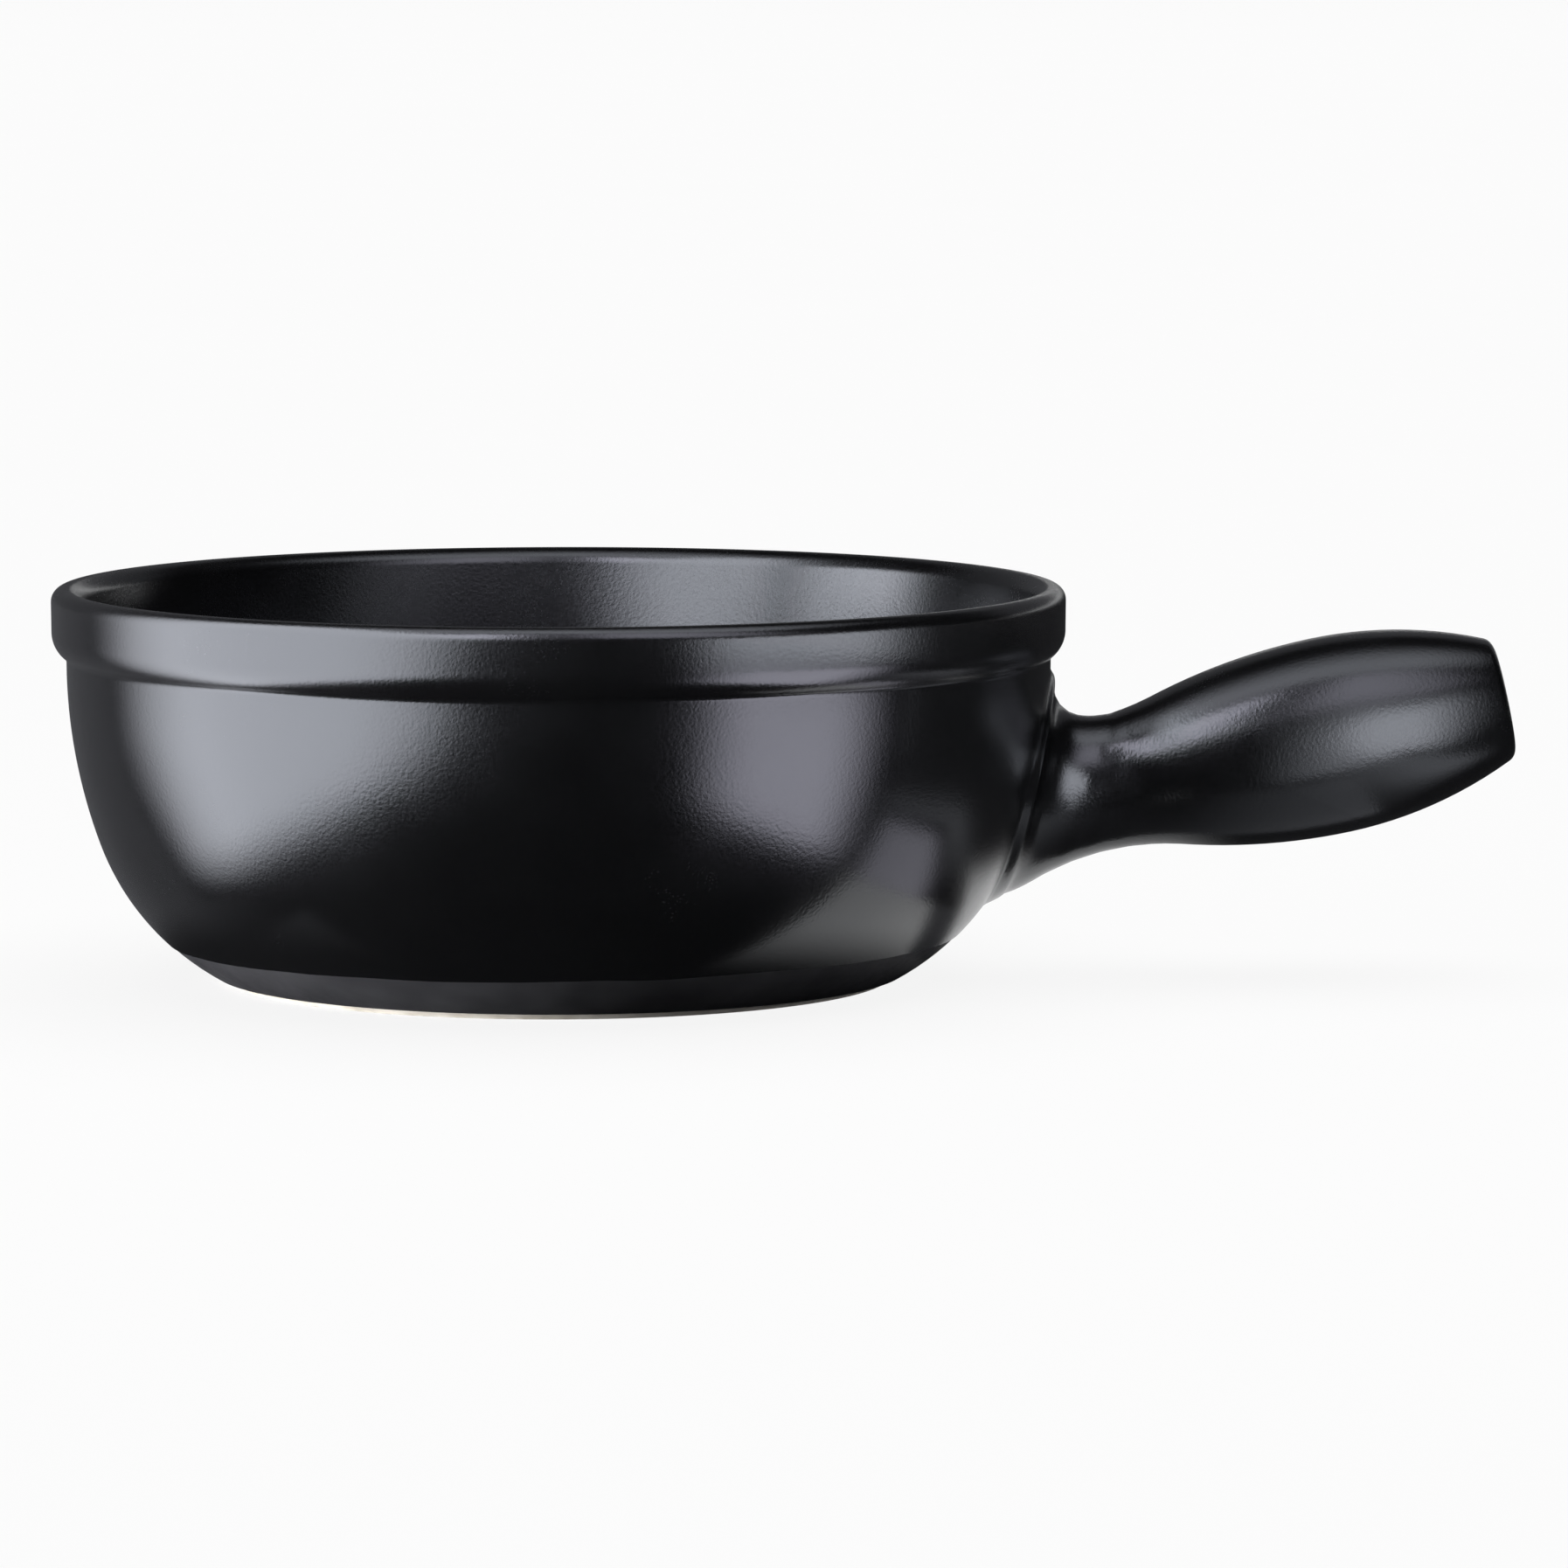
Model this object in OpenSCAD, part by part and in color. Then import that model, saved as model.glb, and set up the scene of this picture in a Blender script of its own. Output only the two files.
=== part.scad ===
// Fondue pot: a glazed stoneware bowl with a proud rim band, a small bare foot and one hollow side handle.
// Millimetres. Origin at the centre of the foot on the table plane, +Z up, handle along +X.

/* [Bowl] */
// Outside diameter over the rim band, glaze included
rim_d = 230; // [216:1:244]
// Height from the table to the crest of the rim
bowl_h = 89.5; // [84:0.5:95]
// Wall thickness of the lower wall, glaze included
wall_t = 6; // [5:0.5:7]
// Height of the inside floor above the table
floor_t = 8; // [7:0.5:10]
// Radius of the upper wall's curve
wall_arc_r = 120; // [112:1:130]
// Radius of the heel's curve, where the wall turns under
heel_arc_r = 57; // [52:1:62]
// Radius between the inside floor and the inside wall
floor_arc_r = 38; // [32:1:44]
// Height of the line where the black glaze stops and the matt coat begins
glaze_line_h = 9.8; // [7:0.2:13]
// Height of the line where the matt coat stops and bare clay begins
coat_line_h = 1.8; // [1:0.1:3]

/* [Rim band] */
// Height of the rim band from its crease to the crest
band_h = 16.8; // [15:0.2:19]
// How far the rim band stands out from the wall
band_proud = 3.4; // [2.6:0.1:4.2]
// Rounding of the band's lower edge
band_corner_r = 7; // [5.5:0.25:8]
// Hollow rounding of the crease under the band
crease_r = 1.8; // [1.2:0.2:2.6]
// Rounding of the lip on the outside
lip_outer_r = 3; // [2.4:0.1:3.6]
// Rounding of the lip on the inside
lip_inner_r = 4.1; // [3.2:0.1:5]

/* [Foot] */
// Outside diameter of the bare foot ring
foot_d = 150; // [144:1:156]
// Width of the foot ring that stands on the table
foot_w = 8; // [5:0.5:12]
// Depth of the glazed recess inside the foot ring
foot_recess = 1.6; // [1:0.1:2.2]
// Rounding of the foot ring's outer edge
foot_edge_r = 1.2; // [0.6:0.1:2]

/* [Handle] */
// Length from the neck to the end face, along the handle's axis, glaze included
handle_len = 94.5; // [86:0.5:104]
// Rise of the handle's axis above level, in degrees
handle_tilt = 12; // [6:1:16]
// Distance of the neck's centre from the wall
neck_reach = 14.8; // [13:0.2:20]
// Rise of the neck's centre above the flange's centre
neck_rise = 0.5; // [0:0.1:1.5]
// Height of the handle at its neck, glaze included
neck_h = 30; // [26:0.5:34]
// Height of the handle at its thickest place, glaze included
grip_h = 44.8; // [40:0.5:50]
// Height of the handle at the end face's edge, glaze included
end_h = 27; // [23:0.5:31]
// Distance from the neck to the thickest place
grip_at = 54; // [46:1:60]
// Share of the neck's hollow curve in the run from neck to thickest place
neck_share = 0.3; // [0.2:0.02:0.4]
// Width of the handle as a share of its height
width_share = 0.94; // [0.8:0.02:1.1]
// Squareness of the handle's section: 2 is an ellipse
section_n = 2.3; // [2:0.1:3]
// Rounding of the end face's edge
end_round = 2.8; // [2:0.2:4]
// Wall thickness of the hollow handle, glaze included
handle_wall = 5; // [4:0.5:6]
// Diameter of the flange where the handle meets the wall, glaze included
flange_d = 52; // [48:1:56]
// Thickness of the flange at its edge below the handle
flange_t = 2; // [1.5:0.1:3]
// Thickness of the flange at its edge above the handle, where it is smoothed onto the wall
flange_top_t = 0.5; // [0.4:0.1:1.4]
// Gap between the flange and the crease under the rim band
flange_gap = 3.7; // [1.5:0.1:5]
// Length of the flare from the wall to the neck
flare_len = 13; // [10:0.5:16]
// How much longer the flare is on top of the handle, and shorter below it
flare_lean = 3; // [0:0.5:4]
// Diameter of the opening at the handle's root
mouth_d = 20; // [16:1:22]
// Diameter of the vent hole under the handle
vent_d = 3; // [2:0.25:4]
// Distance of the vent hole from the neck
vent_at = 12; // [6:1:20]

/* [Layers] */
// Thickness of the black glaze
glaze_t = 0.5; // [0.3:0.05:0.7]
// Thickness of the matt coat on the heel
coat_t = 0.3; // [0.2:0.05:0.4]
// Thickness of the slip that joins the handle to the wall
lute_t = 0.6; // [0.4:0.05:0.8]

/* [Hidden] */
$fn = 96;
arc_tol = 0.03;

// Bowl outline: every stretch is an arc with a centre and a signed radius, minus where it is hollow.
rim_r = rim_d / 2;
foot_r = foot_d / 2;
crest_r = rim_r - lip_outer_r;
crease_z = bowl_h - band_h;
side_r = rim_r - band_proud;
under_a = -acos(1 - 0.98 * band_proud / (band_corner_r + crease_r));
heel_clay_r = heel_arc_r - glaze_t;
foot_point = [foot_r, 0];
c_wall = [side_r - wall_arc_r, crease_z];
arc_gap = wall_arc_r - heel_arc_r;
to_heel = foot_point - c_wall;
heel_cos = (to_heel * to_heel + arc_gap * arc_gap - heel_clay_r * heel_clay_r) / (2 * arc_gap * norm(to_heel));
a_join = atan2(to_heel.y, to_heel.x) + acos(heel_cos);
c_heel = c_wall + arc_gap * dir(a_join);
a_line = asin((glaze_line_h - c_heel.y) / heel_arc_r);
a_coat = asin((coat_line_h - c_heel.y) / heel_clay_r);
c_crease = [side_r + crease_r, crease_z];
c_corner = c_crease - (band_corner_r + crease_r) * dir(under_a);
c_lip = [crest_r, bowl_h - lip_outer_r];
to_lip = c_lip - c_corner;
a_band = atan2(to_lip.y, to_lip.x) - acos((band_corner_r - lip_outer_r) / norm(to_lip));
c_lip_in = [crest_r, bowl_h - lip_inner_r];
inside_r = wall_arc_r - wall_t;
to_lip_in = c_lip_in - c_wall;
a_inside = atan2(to_lip_in.y, to_lip_in.x) + acos(-(inside_r + lip_inner_r) / norm(to_lip_in));
floor_z = floor_t + floor_arc_r;
c_floor = [c_wall.x + sqrt(pow(inside_r - floor_arc_r, 2) - pow(floor_z - c_wall.y, 2)), floor_z];
a_floor = 180 + atan2(c_floor.y - c_wall.y, c_floor.x - c_wall.x);
c_foot = [c_heel.x + sqrt(pow(heel_clay_r - foot_edge_r, 2) - pow(c_heel.y - foot_edge_r, 2)), foot_edge_r];
a_foot = atan2(c_foot.y - c_heel.y, c_foot.x - c_heel.x);
recess_r = foot_r - foot_w;

// Handle: a barrel on a rising axis, flared to a round flange at the wall.
neck_r = neck_h / 2;
grip_r = grip_h / 2;
flange_r = flange_d / 2 - glaze_t;
mouth_r = mouth_d / 2;
flange_z = crease_z - flange_gap - flange_d / 2;
tilt_dir = [cos(handle_tilt), 0, sin(handle_tilt)];
lift_dir = [-sin(handle_tilt), 0, cos(handle_tilt)];
neck_c = [wall_r(flange_z, 0) + neck_reach, 0, flange_z + neck_rise];
swell = grip_r - neck_r;
curve_sum = (grip_at * grip_at + swell * swell) / (2 * swell);
r_neck = neck_share * curve_sum;
r_front = (1 - neck_share) * curve_sum;
end_drop = grip_r - end_h / 2;
r_back = (pow(handle_len - grip_at, 2) + end_drop * end_drop) / (2 * end_drop);
round_s = handle_len - end_round;
round_h = grip_r - r_back + sqrt(pow(r_back - end_round, 2) - pow(round_s - grip_at, 2));
round_a = atan2(round_h - grip_r + r_back, round_s - grip_at);
sides = 44;
turns = [for (j = [0:sides - 1]) 360 * j / sides];
meets = [for (t = turns) wall_meet(t, -0.6 * bowl_h, 6, 24)];

function dir(a) = [cos(a), sin(a)];
function arc_steps(r, sweep) = max(2, ceil(abs(sweep) / (2 * acos(1 - arc_tol / max(abs(r), 0.3)))));
function arc(c, k, a0, a1, off, first) =
  let (m = arc_steps(k, a1 - a0))
  [for (i = [first:m]) c + (k + off) * dir(a0 + (a1 - a0) * i / m)];
function heel_face(a0, a1, off, first) = arc(c_heel, heel_arc_r, a0, a1, off, first);
function wall_face(off) = arc(c_wall, wall_arc_r, a_join, 0, off, 1);
function side_face(a0, off) = concat(heel_face(a0, a_join, off, 0), wall_face(off));
function band_face(off) = concat(
  arc(c_crease, -crease_r, 0, under_a, off, 1),
  arc(c_corner, band_corner_r, under_a, a_band, off, 1),
  arc(c_lip, lip_outer_r, a_band, 90, off, 0)
);
function upper_face(off) = concat(wall_face(off), band_face(off));
function outer_face(a0, off) = concat(heel_face(a0, a_join, off, 0), upper_face(off));
function inner_face(off, first) = concat(
  arc(c_lip_in, lip_inner_r, 90, a_inside, off, first),
  arc(c_wall, -inside_r, a_inside, a_floor, off, 0),
  arc(c_floor, -floor_arc_r, a_floor, 90, off, 1),
  [[0, floor_t + off]]
);
function flip(list) = [for (i = [len(list) - 1:-1:0]) list[i]];
function wall_r(z, off) =
  z > c_wall.y + (wall_arc_r + off) * sin(a_join)
    ? c_wall.x + sqrt(pow(wall_arc_r + off, 2) - pow(z - c_wall.y, 2))
    : c_heel.x + sqrt(pow(heel_arc_r + off, 2) - pow(z - c_heel.y, 2));

// Point on the wall, at a distance rho from the flange's centre and a height d above the bare clay.
function seat_pt(t, rho, d) =
  let (y = rho * cos(t), z = flange_z + rho * sin(t), r = wall_r(z, d - glaze_t))
  [sqrt(r * r - y * y), y, z];
// Half height of the barrel at a distance s from the neck, its skin moved out by off.
function barrel_h(s, off) =
  s < grip_at * (r_neck - off) / curve_sum ? neck_r + r_neck - sqrt(pow(r_neck - off, 2) - s * s)
  : s < grip_at ? grip_r - r_front + sqrt(pow(r_front + off, 2) - pow(s - grip_at, 2))
  : grip_r - r_back + sqrt(pow(r_back + off, 2) - pow(s - grip_at, 2));
function bow(v) = sign(v) * pow(abs(v), 2 / section_n);
function barrel_pt(t, s, h) =
  neck_c + s * tilt_dir + [0, width_share * h * bow(cos(t)), 0] + h * bow(sin(t)) * lift_dir;
function barrel_skin(t, s, off) = barrel_pt(t, s, barrel_h(s, off));
// Where the barrel's straight line at turn t meets the bare wall, by halving the interval.
function wall_meet(t, low, high, n) =
  let (mid = (low + high) / 2, p = barrel_pt(t, mid, neck_r))
  n == 0 ? mid
  : norm([p.x, p.y]) > wall_r(p.z, -glaze_t) ? wall_meet(t, low, mid, n - 1)
  : wall_meet(t, mid, high, n - 1);
function flare_at(t) = flare_len + flare_lean * sin(t);
// Thickness and rounding of the flange's edge at turn t.
function flange_at(t) = flange_t + (flange_top_t - flange_t) * (1 + sin(t)) / 2;
function edge_at(t) = 0.6 * flange_at(t);
function curve3(a, b, c, v) = (1 - v) * (1 - v) * a + 2 * v * (1 - v) * b + v * v * c;
// Rings of the handle's outside, from the end face to the flange's edge.
function end_rings(off) = [
  for (i = [0:4])
    let (a = round_a * i / 4, s = round_s + (end_round + off) * cos(a), h = round_h + (end_round + off) * sin(a))
    [for (t = turns) barrel_pt(t, s, h)]
];
function barrel_rings(off, stop, count) = [
  for (i = [1:count])
    [for (j = [0:sides - 1])
      let (start = meets[j] + flare_at(turns[j]), s = stop + (start - stop) * i / count)
      barrel_skin(turns[j], s, off)]
];
function flare_rings(off) = [
  for (i = [1:7])
    [for (j = [0:sides - 1])
      let (t = turns[j], near = meets[j] + flange_at(t) + lute_t)
      curve3(
        barrel_skin(t, meets[j] + flare_at(t), off),
        barrel_skin(t, near, off),
        seat_pt(t, flange_r - edge_at(t), lute_t + flange_at(t) + glaze_t + off),
        i / 7
      )]
];
function edge_rings(off) = [
  for (a = [60, 30, 0])
    [for (t = turns)
      let (r = edge_at(t), bend = r + glaze_t + off)
      seat_pt(t, flange_r - r + bend * cos(a), lute_t + flange_at(t) - r + bend * sin(a))]
];
function skin_rings(off) = concat(
  end_rings(off),
  barrel_rings(off, round_s + (end_round + off) * cos(round_a), 16),
  flare_rings(off),
  edge_rings(off)
);
function seat_rings() = [
  for (i = [0:4])
    [for (t = turns) seat_pt(t, flange_r + (mouth_r - flange_r) * i / 4, lute_t)]
];
function hollow_rings() = concat(
  flip(barrel_rings(-handle_wall, handle_len - 2 * handle_wall, 9)),
  [[for (t = turns) barrel_skin(t, handle_len - 2 * handle_wall, -handle_wall)]],
  [[for (t = turns) barrel_pt(t, handle_len - handle_wall, 0.7 * barrel_h(handle_len - 2 * handle_wall, -handle_wall))]]
);

// Closed skin through rings of equal length, with a point at each end.
module loft(first_tip, rings, last_tip) {
  count = len(rings);
  pts = concat([first_tip], [for (r = rings) each r], [last_tip]);
  last = len(pts) - 1;
  faces = concat(
    [for (j = [0:sides - 1]) [0, 1 + (j + 1) % sides, 1 + j]],
    [for (i = [0:count - 2], j = [0:sides - 1])
      let (a = 1 + i * sides, b = a + sides, k = (j + 1) % sides)
      each [[a + j, a + k, b + j], [a + k, b + k, b + j]]],
    [for (j = [0:sides - 1]) let (a = 1 + (count - 1) * sides) [a + j, a + (j + 1) % sides, last]]
  );
  polyhedron(points = pts, faces = faces, convexity = 8);
}

// Round bar along +X at the flange's height, from the bowl's axis outward.
module flange_bar(r) {
  translate([0, 0, flange_z])
    rotate([0, 90, 0])
      cylinder(r = r, h = rim_d);
}

module vent_bar() {
  translate(neck_c + vent_at * tilt_dir)
    rotate([0, 180 - handle_tilt, 0])
      cylinder(d = vent_d, h = grip_h);
}

module bowl() {
  color([0.80, 0.76, 0.69])
    rotate_extrude()
      polygon(concat(
        [[0, foot_recess], [recess_r - foot_recess, foot_recess], [recess_r, 0]],
        arc(c_foot, foot_edge_r, -90, a_foot, 0, 0),
        heel_face(a_foot, a_join, -glaze_t, 1),
        upper_face(-glaze_t),
        inner_face(-glaze_t, 1)
      ));
}

module outer_glaze() {
  color([0.03, 0.03, 0.035])
    difference() {
      rotate_extrude()
        polygon(concat(outer_face(a_line, 0), flip(outer_face(a_line, -glaze_t))));
      flange_bar(flange_r + glaze_t);
    }
}

module inner_glaze() {
  color([0.04, 0.04, 0.045])
    rotate_extrude()
      polygon(concat(inner_face(0, 0), flip(inner_face(-glaze_t, 0))));
}

module base_coat() {
  color([0.16, 0.16, 0.17])
    rotate_extrude()
      polygon(concat(
        heel_face(a_coat, a_line, coat_t - glaze_t, 0),
        flip(heel_face(a_coat, a_line, -glaze_t, 0))
      ));
}

module recess_glaze() {
  color([0.05, 0.05, 0.055])
    translate([0, 0, foot_recess - glaze_t])
      cylinder(r = recess_r - foot_recess - glaze_t, h = glaze_t);
}

module handle_lute() {
  color([0.72, 0.67, 0.60])
    difference() {
      intersection() {
        rotate_extrude()
          polygon(concat(side_face(a_line, lute_t - glaze_t), flip(side_face(a_line, -glaze_t))));
        flange_bar(flange_r);
      }
      flange_bar(mouth_r);
    }
}

module handle() {
  color([0.80, 0.76, 0.69])
    difference() {
      loft(
        neck_c + (handle_len - glaze_t) * tilt_dir,
        concat(skin_rings(-glaze_t), seat_rings(), hollow_rings()),
        neck_c + (handle_len - handle_wall) * tilt_dir
      );
      vent_bar();
    }
}

module handle_glaze() {
  color([0.03, 0.03, 0.035])
    difference() {
      loft(
        neck_c + handle_len * tilt_dir,
        concat(
          skin_rings(0),
          [[for (t = turns) seat_pt(t, flange_r + glaze_t, 0)]],
          [[for (t = turns) seat_pt(t, flange_r, 0)]],
          flip(skin_rings(-glaze_t))
        ),
        neck_c + (handle_len - glaze_t) * tilt_dir
      );
      vent_bar();
    }
}

bowl();
handle();
handle_lute();
outer_glaze();
inner_glaze();
handle_glaze();
base_coat();
recess_glaze();
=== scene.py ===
"""Fondue pot: black satin-glazed stoneware with a proud rim band, a matt heel and one hollow side handle."""

import math

import bpy
from mathutils import Matrix, Vector


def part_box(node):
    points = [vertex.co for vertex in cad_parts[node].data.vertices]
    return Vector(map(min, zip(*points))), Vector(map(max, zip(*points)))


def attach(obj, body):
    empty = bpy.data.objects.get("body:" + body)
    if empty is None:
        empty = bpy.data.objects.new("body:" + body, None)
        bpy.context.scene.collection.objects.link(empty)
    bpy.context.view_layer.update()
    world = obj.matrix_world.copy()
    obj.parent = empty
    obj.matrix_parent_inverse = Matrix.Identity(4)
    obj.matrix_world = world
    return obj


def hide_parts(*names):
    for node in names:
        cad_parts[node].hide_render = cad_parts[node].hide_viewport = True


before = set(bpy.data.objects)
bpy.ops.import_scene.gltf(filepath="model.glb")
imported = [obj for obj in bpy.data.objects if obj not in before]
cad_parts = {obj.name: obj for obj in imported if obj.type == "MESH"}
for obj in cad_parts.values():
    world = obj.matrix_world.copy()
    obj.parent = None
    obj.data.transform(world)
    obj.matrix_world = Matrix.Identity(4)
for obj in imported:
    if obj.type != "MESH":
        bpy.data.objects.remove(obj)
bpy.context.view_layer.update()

MM = 0.001

# Layers
GLAZE_T = 0.5 * MM
COAT_T = 0.3 * MM
LUTE_T = 0.6 * MM

# Bowl
RIM_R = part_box("outer_glaze")[1].x
BOWL_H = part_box("inner_glaze")[1].z
FLOOR_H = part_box("inner_glaze")[0].z + GLAZE_T
FOOT_R = 75 * MM
WALL_T = 6 * MM
WALL_ARC_R = 120 * MM
HEEL_ARC_R = 57 * MM
FLOOR_ARC_R = 38 * MM

# Rim band, and the share of its reach that its crease and rounded corner make together
BAND_H = 16.8 * MM
BAND_PROUD = 3.4 * MM
BAND_CORNER_R = 7 * MM
CREASE_R = 1.8 * MM
UNDER_SHARE = 0.98
LIP_OUTER_R = 3 * MM
LIP_INNER_R = 4.1 * MM

# Lines where the finishes meet: height at the bowl's axis, slope towards the handle, and how far they wander
GLAZE_LINE_H = 10.2 * MM
GLAZE_LINE_SLOPE = 0.011
GLAZE_LINE_WANDER = 1.2 * MM
GLAZE_LINE_WAVE = 34 * MM
LINE_BLOCK_W = 2.1 * RIM_R
LINE_BLOCK_H = 4 * GLAZE_LINE_H
COAT_LINE_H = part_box("base_coat")[0].z
RECESS_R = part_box("recess_glaze")[1].x
RECESS_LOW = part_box("recess_glaze")[0].z
RECESS_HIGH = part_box("recess_glaze")[1].z

# Handle
HANDLE_LEN = 94.5 * MM
HANDLE_TILT = math.radians(12)
NECK_REACH = 14.8 * MM
NECK_R = 15 * MM
NECK_RISE = 0.5 * MM
GRIP_R = 22.4 * MM
END_R = 13.5 * MM
GRIP_AT = 54 * MM
NECK_SHARE = 0.3
WIDTH_SHARE = 0.94
SECTION_N = 2.3
END_ROUND = 2.8 * MM
FLANGE_R = 25.5 * MM
FLANGE_T = 2 * MM
FLANGE_TOP_T = 0.5 * MM
FLANGE_EDGE_SHARE = 0.6
FLANGE_FILLET = 2.2 * MM
FLANGE_SINK = 0.3 * MM
FLANGE_Z = 43 * MM
FLARE_START = 9 * MM
FLARE_STROKES = (12, 8, 4)
VENT_R = 1.5 * MM
VENT_AT = 12 * MM

# Fineness of the meshes
BOWL_TURNS = 192
HEEL_STEPS = 16
COAT_POINTS = 14
WALL_STEPS = 16
CREASE_STEPS = 8
CORNER_STEPS = 14
LIP_STEPS = 12
INSIDE_STEPS = 20
FLOOR_RING_SHARES = (0.8, 0.6, 0.4, 0.2, 0.05, 0)
LINE_CUTS = 90
HANDLE_SIDES = 96
END_ROUND_STEPS = 6
END_FACE_RINGS = 4
GRIP_RINGS = 26
FLARE_CUTS = 26
FLANGE_EDGE_STEPS = 7

# How near two places are that count as one
HAIR = 0.001 * MM
WELD = 0.005 * MM
TOUCH = 0.01 * MM

# Colours of the finishes, dark and light
BLACKS = (0.0018, 0.0018, 0.0020), (0.0036, 0.0036, 0.0040)
COAT_GREYS = (0.027, 0.027, 0.030), (0.044, 0.044, 0.048)
CLAYS = (0.58, 0.54, 0.48), (0.80, 0.77, 0.72)
SLIPS = (0.42, 0.37, 0.31), (0.60, 0.55, 0.48)

# Shine of the finishes: roughness from low to high, and how much they mirror
OUTSIDE_ROUGH = 0.20, 0.25
INSIDE_ROUGH = 0.22, 0.27
COAT_ROUGH = 0.42, 0.54
CLAY_ROUGH = 0.8, 0.95
SPECKLE_ROUGH = -0.03, 0.03
GLAZE_IOR = 1.8
GLAZE_TINT = (0.93, 0.96, 1.0, 1)
COAT_MIRROR = 0.06

# Size of the patches in which tone and shine change
GLAZE_CLOUD = 60 * MM
GLAZE_SHEEN = 18 * MM
GLAZE_SPECKLE = 0.5 * MM
COAT_CLOUD = 12 * MM
COAT_SHEEN = 3 * MM
CLAY_CLOUD = 6 * MM
CLAY_SHEEN = 1.5 * MM
CLAY_SPECK = 2.2 * MM

# Relief of the finishes: size and height of the ripple, the tooth and the pits
RIPPLE_SIZE = 0.9 * MM
TOOTH_SIZE = 0.7 * MM
PIT_SPACING = 21 * MM
PIT_SIDE = 0.006, 0.014
PIT_PATCH = 47 * MM
PIT_PATCH_EDGE = 0.52, 0.56
GLAZE_RIPPLE = 0.022 * MM
GLAZE_PIT = 0.012 * MM
OUTSIDE_TOOTH = 0.042 * MM
INSIDE_TOOTH = 0.032 * MM
COAT_RELIEF = 0.003 * MM, 0.005 * MM, 0.006 * MM
CLAY_RELIEF = 0.006 * MM, 0.012 * MM, -0.02 * MM

# Camera, from the photo's frame
IMAGE_SIDE = 1794
VIEW_TARGET = Vector((0, 0, 45 * MM))
VIEW_TARGET_PIXEL = (640.4, 891.4)
VIEW_DISTANCE = 1.9
VIEW_ELEVATION = math.radians(5.99)
PIXELS_PER_METRE = 5026
SENSOR = 36.0

# Floor and backdrop, in metres
FLOOR_SIDE = 80.0
FLOOR_BACK = 30.0
BACKDROP_H = 16.0
BACKDROP_BEND = 8.0
BACKDROP_STEPS = 24
FLOOR_CLOUD = 0.4
FLOOR_TONES = (0.83, 0.83, 0.83), (0.85, 0.85, 0.85)
FLOOR_WHITE = 0.99
FLOOR_LIFT = 0.90

# Panels and cards, which only the glaze's reflections show
PANEL_FOOT = 1 * MM
CARD_LIFT = 0.5 * MM
CARD_CUTS = 15
BACK_CARD_Y = 20.0
NO_FADES = (0, 0, 0, 0)
COOL_WHITE = (0.985, 1.0, 1.07)
VIOLET_WHITE = (1.03, 1.0, 1.13)

# Lamps and room
CEILING_GLOW = 2.9
CEILING_LEAN = (math.radians(-12), math.radians(8), 0)
CEILING_SPREAD = math.radians(75)
FILL_POWER = 15.0
FILL_PLACE = Vector((-0.75, -0.22, 0.014))
FILL_AIM = Vector((0, 0, 0.010))
FILL_WIDTH = 0.30
FILL_HEIGHT = 0.02
ROOM_GREY = (0.01, 0.01, 0.0105)


# Outline of the bowl: a chain of arcs in the plane of radius and height

def toward(turn):
    return Vector((math.cos(turn), math.sin(turn)))


def bearing(step):
    return math.atan2(step.y, step.x)


CREASE_Z = BOWL_H - BAND_H
SIDE_R = RIM_R - BAND_PROUD
CREST_R = RIM_R - LIP_OUTER_R
INSIDE_ARC_R = WALL_ARC_R - WALL_T
WALL_C = Vector((SIDE_R - WALL_ARC_R, CREASE_Z))
CREASE_C = Vector((SIDE_R + CREASE_R, CREASE_Z))
UNDER_TURN = -math.acos(1 - UNDER_SHARE * BAND_PROUD / (BAND_CORNER_R + CREASE_R))
CORNER_C = CREASE_C - (BAND_CORNER_R + CREASE_R) * toward(UNDER_TURN)
LIP_C = Vector((CREST_R, BOWL_H - LIP_OUTER_R))
LIP_IN_C = Vector((CREST_R, BOWL_H - LIP_INNER_R))
CREST_TURN = math.pi / 2


def heel_join():
    """Centre of the heel's arc and its turn at the wall's arc, so that bare clay meets the foot's edge."""
    gap = WALL_ARC_R - HEEL_ARC_R
    to_foot = Vector((FOOT_R, 0)) - WALL_C
    clay_r = HEEL_ARC_R - GLAZE_T
    cosine = (to_foot.length_squared + gap ** 2 - clay_r ** 2) / (2 * gap * to_foot.length)
    turn = bearing(to_foot) + math.acos(cosine)
    return WALL_C + gap * toward(turn), turn


HEEL_C, JOIN_TURN = heel_join()
TO_LIP = LIP_C - CORNER_C
BAND_TURN = bearing(TO_LIP) - math.acos((BAND_CORNER_R - LIP_OUTER_R) / TO_LIP.length)
TO_LIP_IN = LIP_IN_C - WALL_C
INSIDE_TURN = bearing(TO_LIP_IN) + math.acos(-(INSIDE_ARC_R + LIP_INNER_R) / TO_LIP_IN.length)
FLOOR_ARC_Z = FLOOR_H + FLOOR_ARC_R
FLOOR_C = Vector((
    WALL_C.x + math.sqrt((INSIDE_ARC_R - FLOOR_ARC_R) ** 2 - (FLOOR_ARC_Z - WALL_C.y) ** 2),
    FLOOR_ARC_Z,
))
FLOOR_TURN = math.pi + bearing(FLOOR_C - WALL_C)


def arc(centre, radius, start, end, lift, steps):
    """Points on an arc, moved off the surface by lift. A hollow arc has a minus radius."""
    return [centre + (radius + lift) * toward(start + (end - start) * i / steps) for i in range(steps + 1)]


def without_doubles(points):
    return points[:1] + [b for a, b in zip(points, points[1:]) if (b - a).length > HAIR]


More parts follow.
